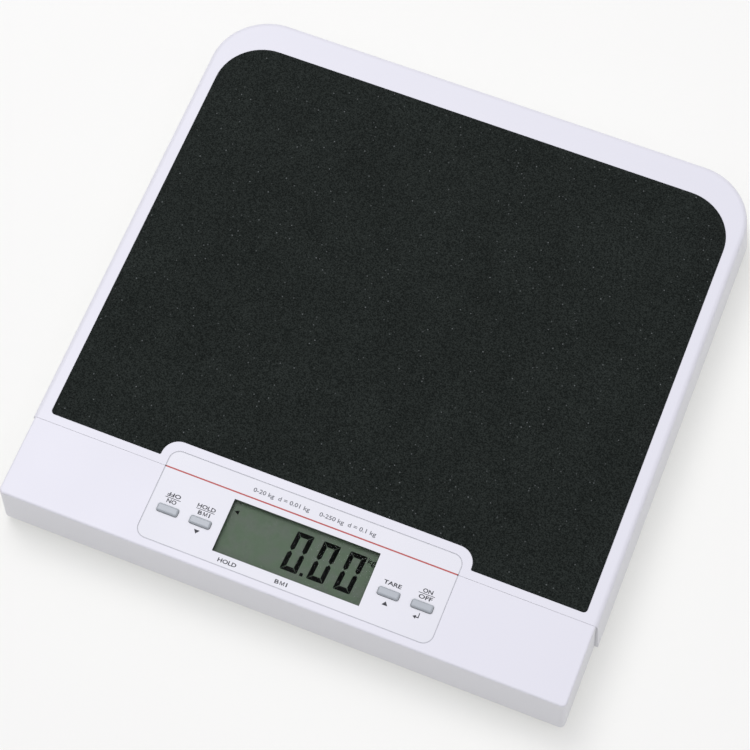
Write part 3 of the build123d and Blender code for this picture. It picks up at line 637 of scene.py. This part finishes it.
# ---- rubber soles ---------------------------------------------------------------------------------
def sole_profile(radius, top):
    """Half section of a sole with three raised rings; z = 0 is the floor."""
    points = [(0, 0.55), (2.0, 0.55)]
    for ring in (4.2, 8.2, 12.2):
        points += [(ring - 1.1, 0.55), (ring - 0.8, 0.1), (ring - 0.6, 0.0),
                   (ring + 0.6, 0.0), (ring + 0.8, 0.1), (ring + 1.1, 0.55)]
    points += [(radius - 1.6, 0.55), (radius - 1.3, 0.1), (radius - 1.0, 0.0), (radius - 0.5, 0.0),
               (radius - 0.15, 0.15), (radius, 0.5), (radius, top), (0, top)]
    return turned(points)


for corner in CORNERS:
    node = f"foot_pad_{corner}"
    low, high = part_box(node)
    bm = bmesh.new()
    lathe(bm, sole_profile((high.x - low.x) / 2 / MM, high.z / MM))
    bm.transform(Matrix.Translation(((low.x + high.x) / 2, (low.y + high.y) / 2, 0)))
    name = f"sole_{corner}"
    piece(name, to_mesh(name, bm), f"{corner}_foot", SOLE, [node])


# ---- batteries ------------------------------------------------------------------------------------
def battery_profiles(length, radius):
    """Half sections of a battery from its flat end: steel can, dark wrap, coloured band."""
    shoulder = length - 1.2
    can = [(0, 0.0), (4.6, 0.0), (4.8, 0.25), (6.2, 0.25), (radius - 0.5, 0.05), (radius - 0.25, 0.35),
           (radius - 0.25, shoulder - 0.35), (radius - 0.55, shoulder - 0.05), (6.0, shoulder - 0.15),
           (4.0, shoulder - 0.3), (3.1, shoulder), (2.75, shoulder + 0.15), (2.75, length - 0.3),
           (2.5, length), (0, length)]
    step = 0.68 * length
    inner = radius - 0.24

    def sleeve(start, end):
        return [(inner, start), (radius - 0.1, start), (radius, start + 0.1),
                (radius, end - 0.1), (radius - 0.1, end), (inner, end)]

    return can, sleeve(0.45, step), sleeve(step + 0.02, shoulder - 0.45)


def tube(bm, profile):
    """A closed ring turned about Z from a closed profile that stays off the axis."""
    turns = [2 * math.pi * i / ROUND_STEPS for i in range(ROUND_STEPS)]
    rings = [[bm.verts.new((r * math.cos(t), r * math.sin(t), z)) for t in turns] for r, z in profile]
    for lower, upper in zip(rings, rings[1:] + rings[:1]):
        for i in range(ROUND_STEPS):
            j = (i + 1) % ROUND_STEPS
            bm.faces.new((lower[i], lower[j], upper[j], upper[i]))


cells_low, cells_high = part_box("batteries")
cell_radius = (cells_high.z - cells_low.z) / 2
cell_pitch = (cells_high.x - cells_low.x - 2 * cell_radius) / 3
cell_length = cells_high.y - cells_low.y
for index in range(4):
    way = 1 if index % 2 == 0 else -1
    x = cells_low.x + cell_radius + index * cell_pitch
    start = cells_low.y if way == 1 else cells_high.y
    lie_down = Matrix.Rotation(-way * math.pi / 2, 4, "X")
    stand = Matrix.Translation((x, start, (cells_low.z + cells_high.z) / 2)) @ lie_down
    profiles = battery_profiles(cell_length / MM, cell_radius / MM)
    for part, profile, material in zip(("can", "wrap", "band"), profiles, (NICKEL, WRAP, BAND)):
        bm = bmesh.new()
        if part == "can":
            lathe(bm, turned(profile))
        else:
            tube(bm, turned(profile))
        bm.transform(stand)
        name = f"battery_{index + 1}_{part}"
        piece(name, to_mesh(name, bm), "scale", material, ["batteries"])


# ---- stage, light and camera ----------------------------------------------------------------------
def camera(azimuth_deg, elevation_deg, roll_deg, place_mm, lens_mm, shift):
    data = bpy.data.cameras.new("camera")
    data.lens = lens_mm
    data.sensor_width = 36.0
    data.clip_start, data.clip_end = 0.05, 50.0
    made = bpy.data.objects.new("camera", data)
    bpy.context.scene.collection.objects.link(made)
    a, e = math.radians(azimuth_deg), math.radians(elevation_deg)
    back = Vector((math.sin(a) * math.cos(e), -math.cos(a) * math.cos(e), math.sin(e)))
    made.rotation_mode = "QUATERNION"
    roll = Quaternion((0, 0, 1), math.radians(roll_deg))
    made.rotation_quaternion = (-back).to_track_quat("-Z", "Y") @ roll
    made.location = Vector(place_mm) * MM
    data.shift_x, data.shift_y = -shift, shift
    bpy.context.scene.camera = made
    return made


def softbox(name, place, size, power, tint=(1.0, 1.0, 1.0)):
    """Square area light that faces the middle of the object."""
    data = bpy.data.lights.new(name, "AREA")
    data.size = size
    data.energy = power
    data.color = tint
    made = bpy.data.objects.new(name, data)
    bpy.context.scene.collection.objects.link(made)
    made.location = place
    made.rotation_mode = "QUATERNION"
    made.rotation_quaternion = (-Vector(place)).to_track_quat("-Z", "Y")


def studio_floor(watched):
    """Pale floor with a faint glow. It clears when the camera is below it, to show the underside."""
    bm = bmesh.new()
    half = 30.0
    for x, y in ((-half, -half), (half, -half), (half, half), (-half, half)):
        bm.verts.new((x, y, 0.0))
    bm.verts.ensure_lookup_table()
    bm.faces.new(bm.verts)
    floor = bpy.data.objects.new("floor", to_mesh("floor", bm))
    bpy.context.scene.collection.objects.link(floor)
    g = Graph("pale_floor", 0.7)
    tone = g.ramp(g.grain(400, 2), (0.3, (0.615, 0.620, 0.565)), (0.7, (0.625, 0.630, 0.575)))
    g.set(Base_Color=tone, Specular_IOR_Level=0.1,
          Emission_Color=(1.0, 1.0, 0.985), Emission_Strength=0.345)
    height = g.node("ShaderNodeValue").outputs["Value"]
    below = g.sum(height, 0.0, "LESS_THAN")
    clear = g.node("ShaderNodeBsdfTransparent")
    both = g.node("ShaderNodeMixShader", {0: below, 1: g.shader.outputs[0], 2: clear.outputs[0]})
    g.put(g.output, "Surface", both.outputs[0])
    driver = height.driver_add("default_value").driver
    driver.type = "SUM"
    source = driver.variables.new()
    source.type = "TRANSFORMS"
    source.targets[0].id = watched
    source.targets[0].transform_type = "LOC_Z"
    floor.data.materials.append(g.material)


def studio_world(zenith, horizon, shown):
    """Soft surroundings, brightest and coolest straight up and down; shown is what the camera sees."""
    world = bpy.data.worlds.new("studio")
    bpy.context.scene.world = world
    world.use_nodes = True
    tree = world.node_tree
    background = tree.nodes["Background"]
    direction = tree.nodes.new("ShaderNodeTexCoord")
    split = tree.nodes.new("ShaderNodeSeparateXYZ")
    steepness = tree.nodes.new("ShaderNodeMath")
    steepness.operation = "ABSOLUTE"
    blend = tree.nodes.new("ShaderNodeMixRGB")
    seen = tree.nodes.new("ShaderNodeMixRGB")
    path = tree.nodes.new("ShaderNodeLightPath")
    blend.inputs["Color1"].default_value = (*horizon, 1.0)
    blend.inputs["Color2"].default_value = (*zenith, 1.0)
    seen.inputs["Color2"].default_value = (shown, shown, shown, 1.0)
    tree.links.new(direction.outputs["Generated"], split.inputs["Vector"])
    tree.links.new(split.outputs["Z"], steepness.inputs[0])
    tree.links.new(steepness.outputs["Value"], blend.inputs["Fac"])
    tree.links.new(path.outputs["Is Camera Ray"], seen.inputs["Fac"])
    tree.links.new(blend.outputs["Color"], seen.inputs["Color1"])
    tree.links.new(seen.outputs["Color"], background.inputs["Color"])


view_camera = camera(23.858, 66.843, -2.214, (199.2, -472.7, 1180.8), 106.84, 0.00067)
studio_floor(view_camera)
studio_world((0.945, 0.93, 1.045), (0.06, 0.06, 0.06), 1.0)
softbox("key_light", (-0.9, 0.7, 2.7), 1.4, 28.5, (1.0, 0.99, 1.05))
softbox("side_light", (2.6, 0.6, 1.4), 1.4, 3.0)
bpy.context.scene.view_settings.view_transform = "Standard"
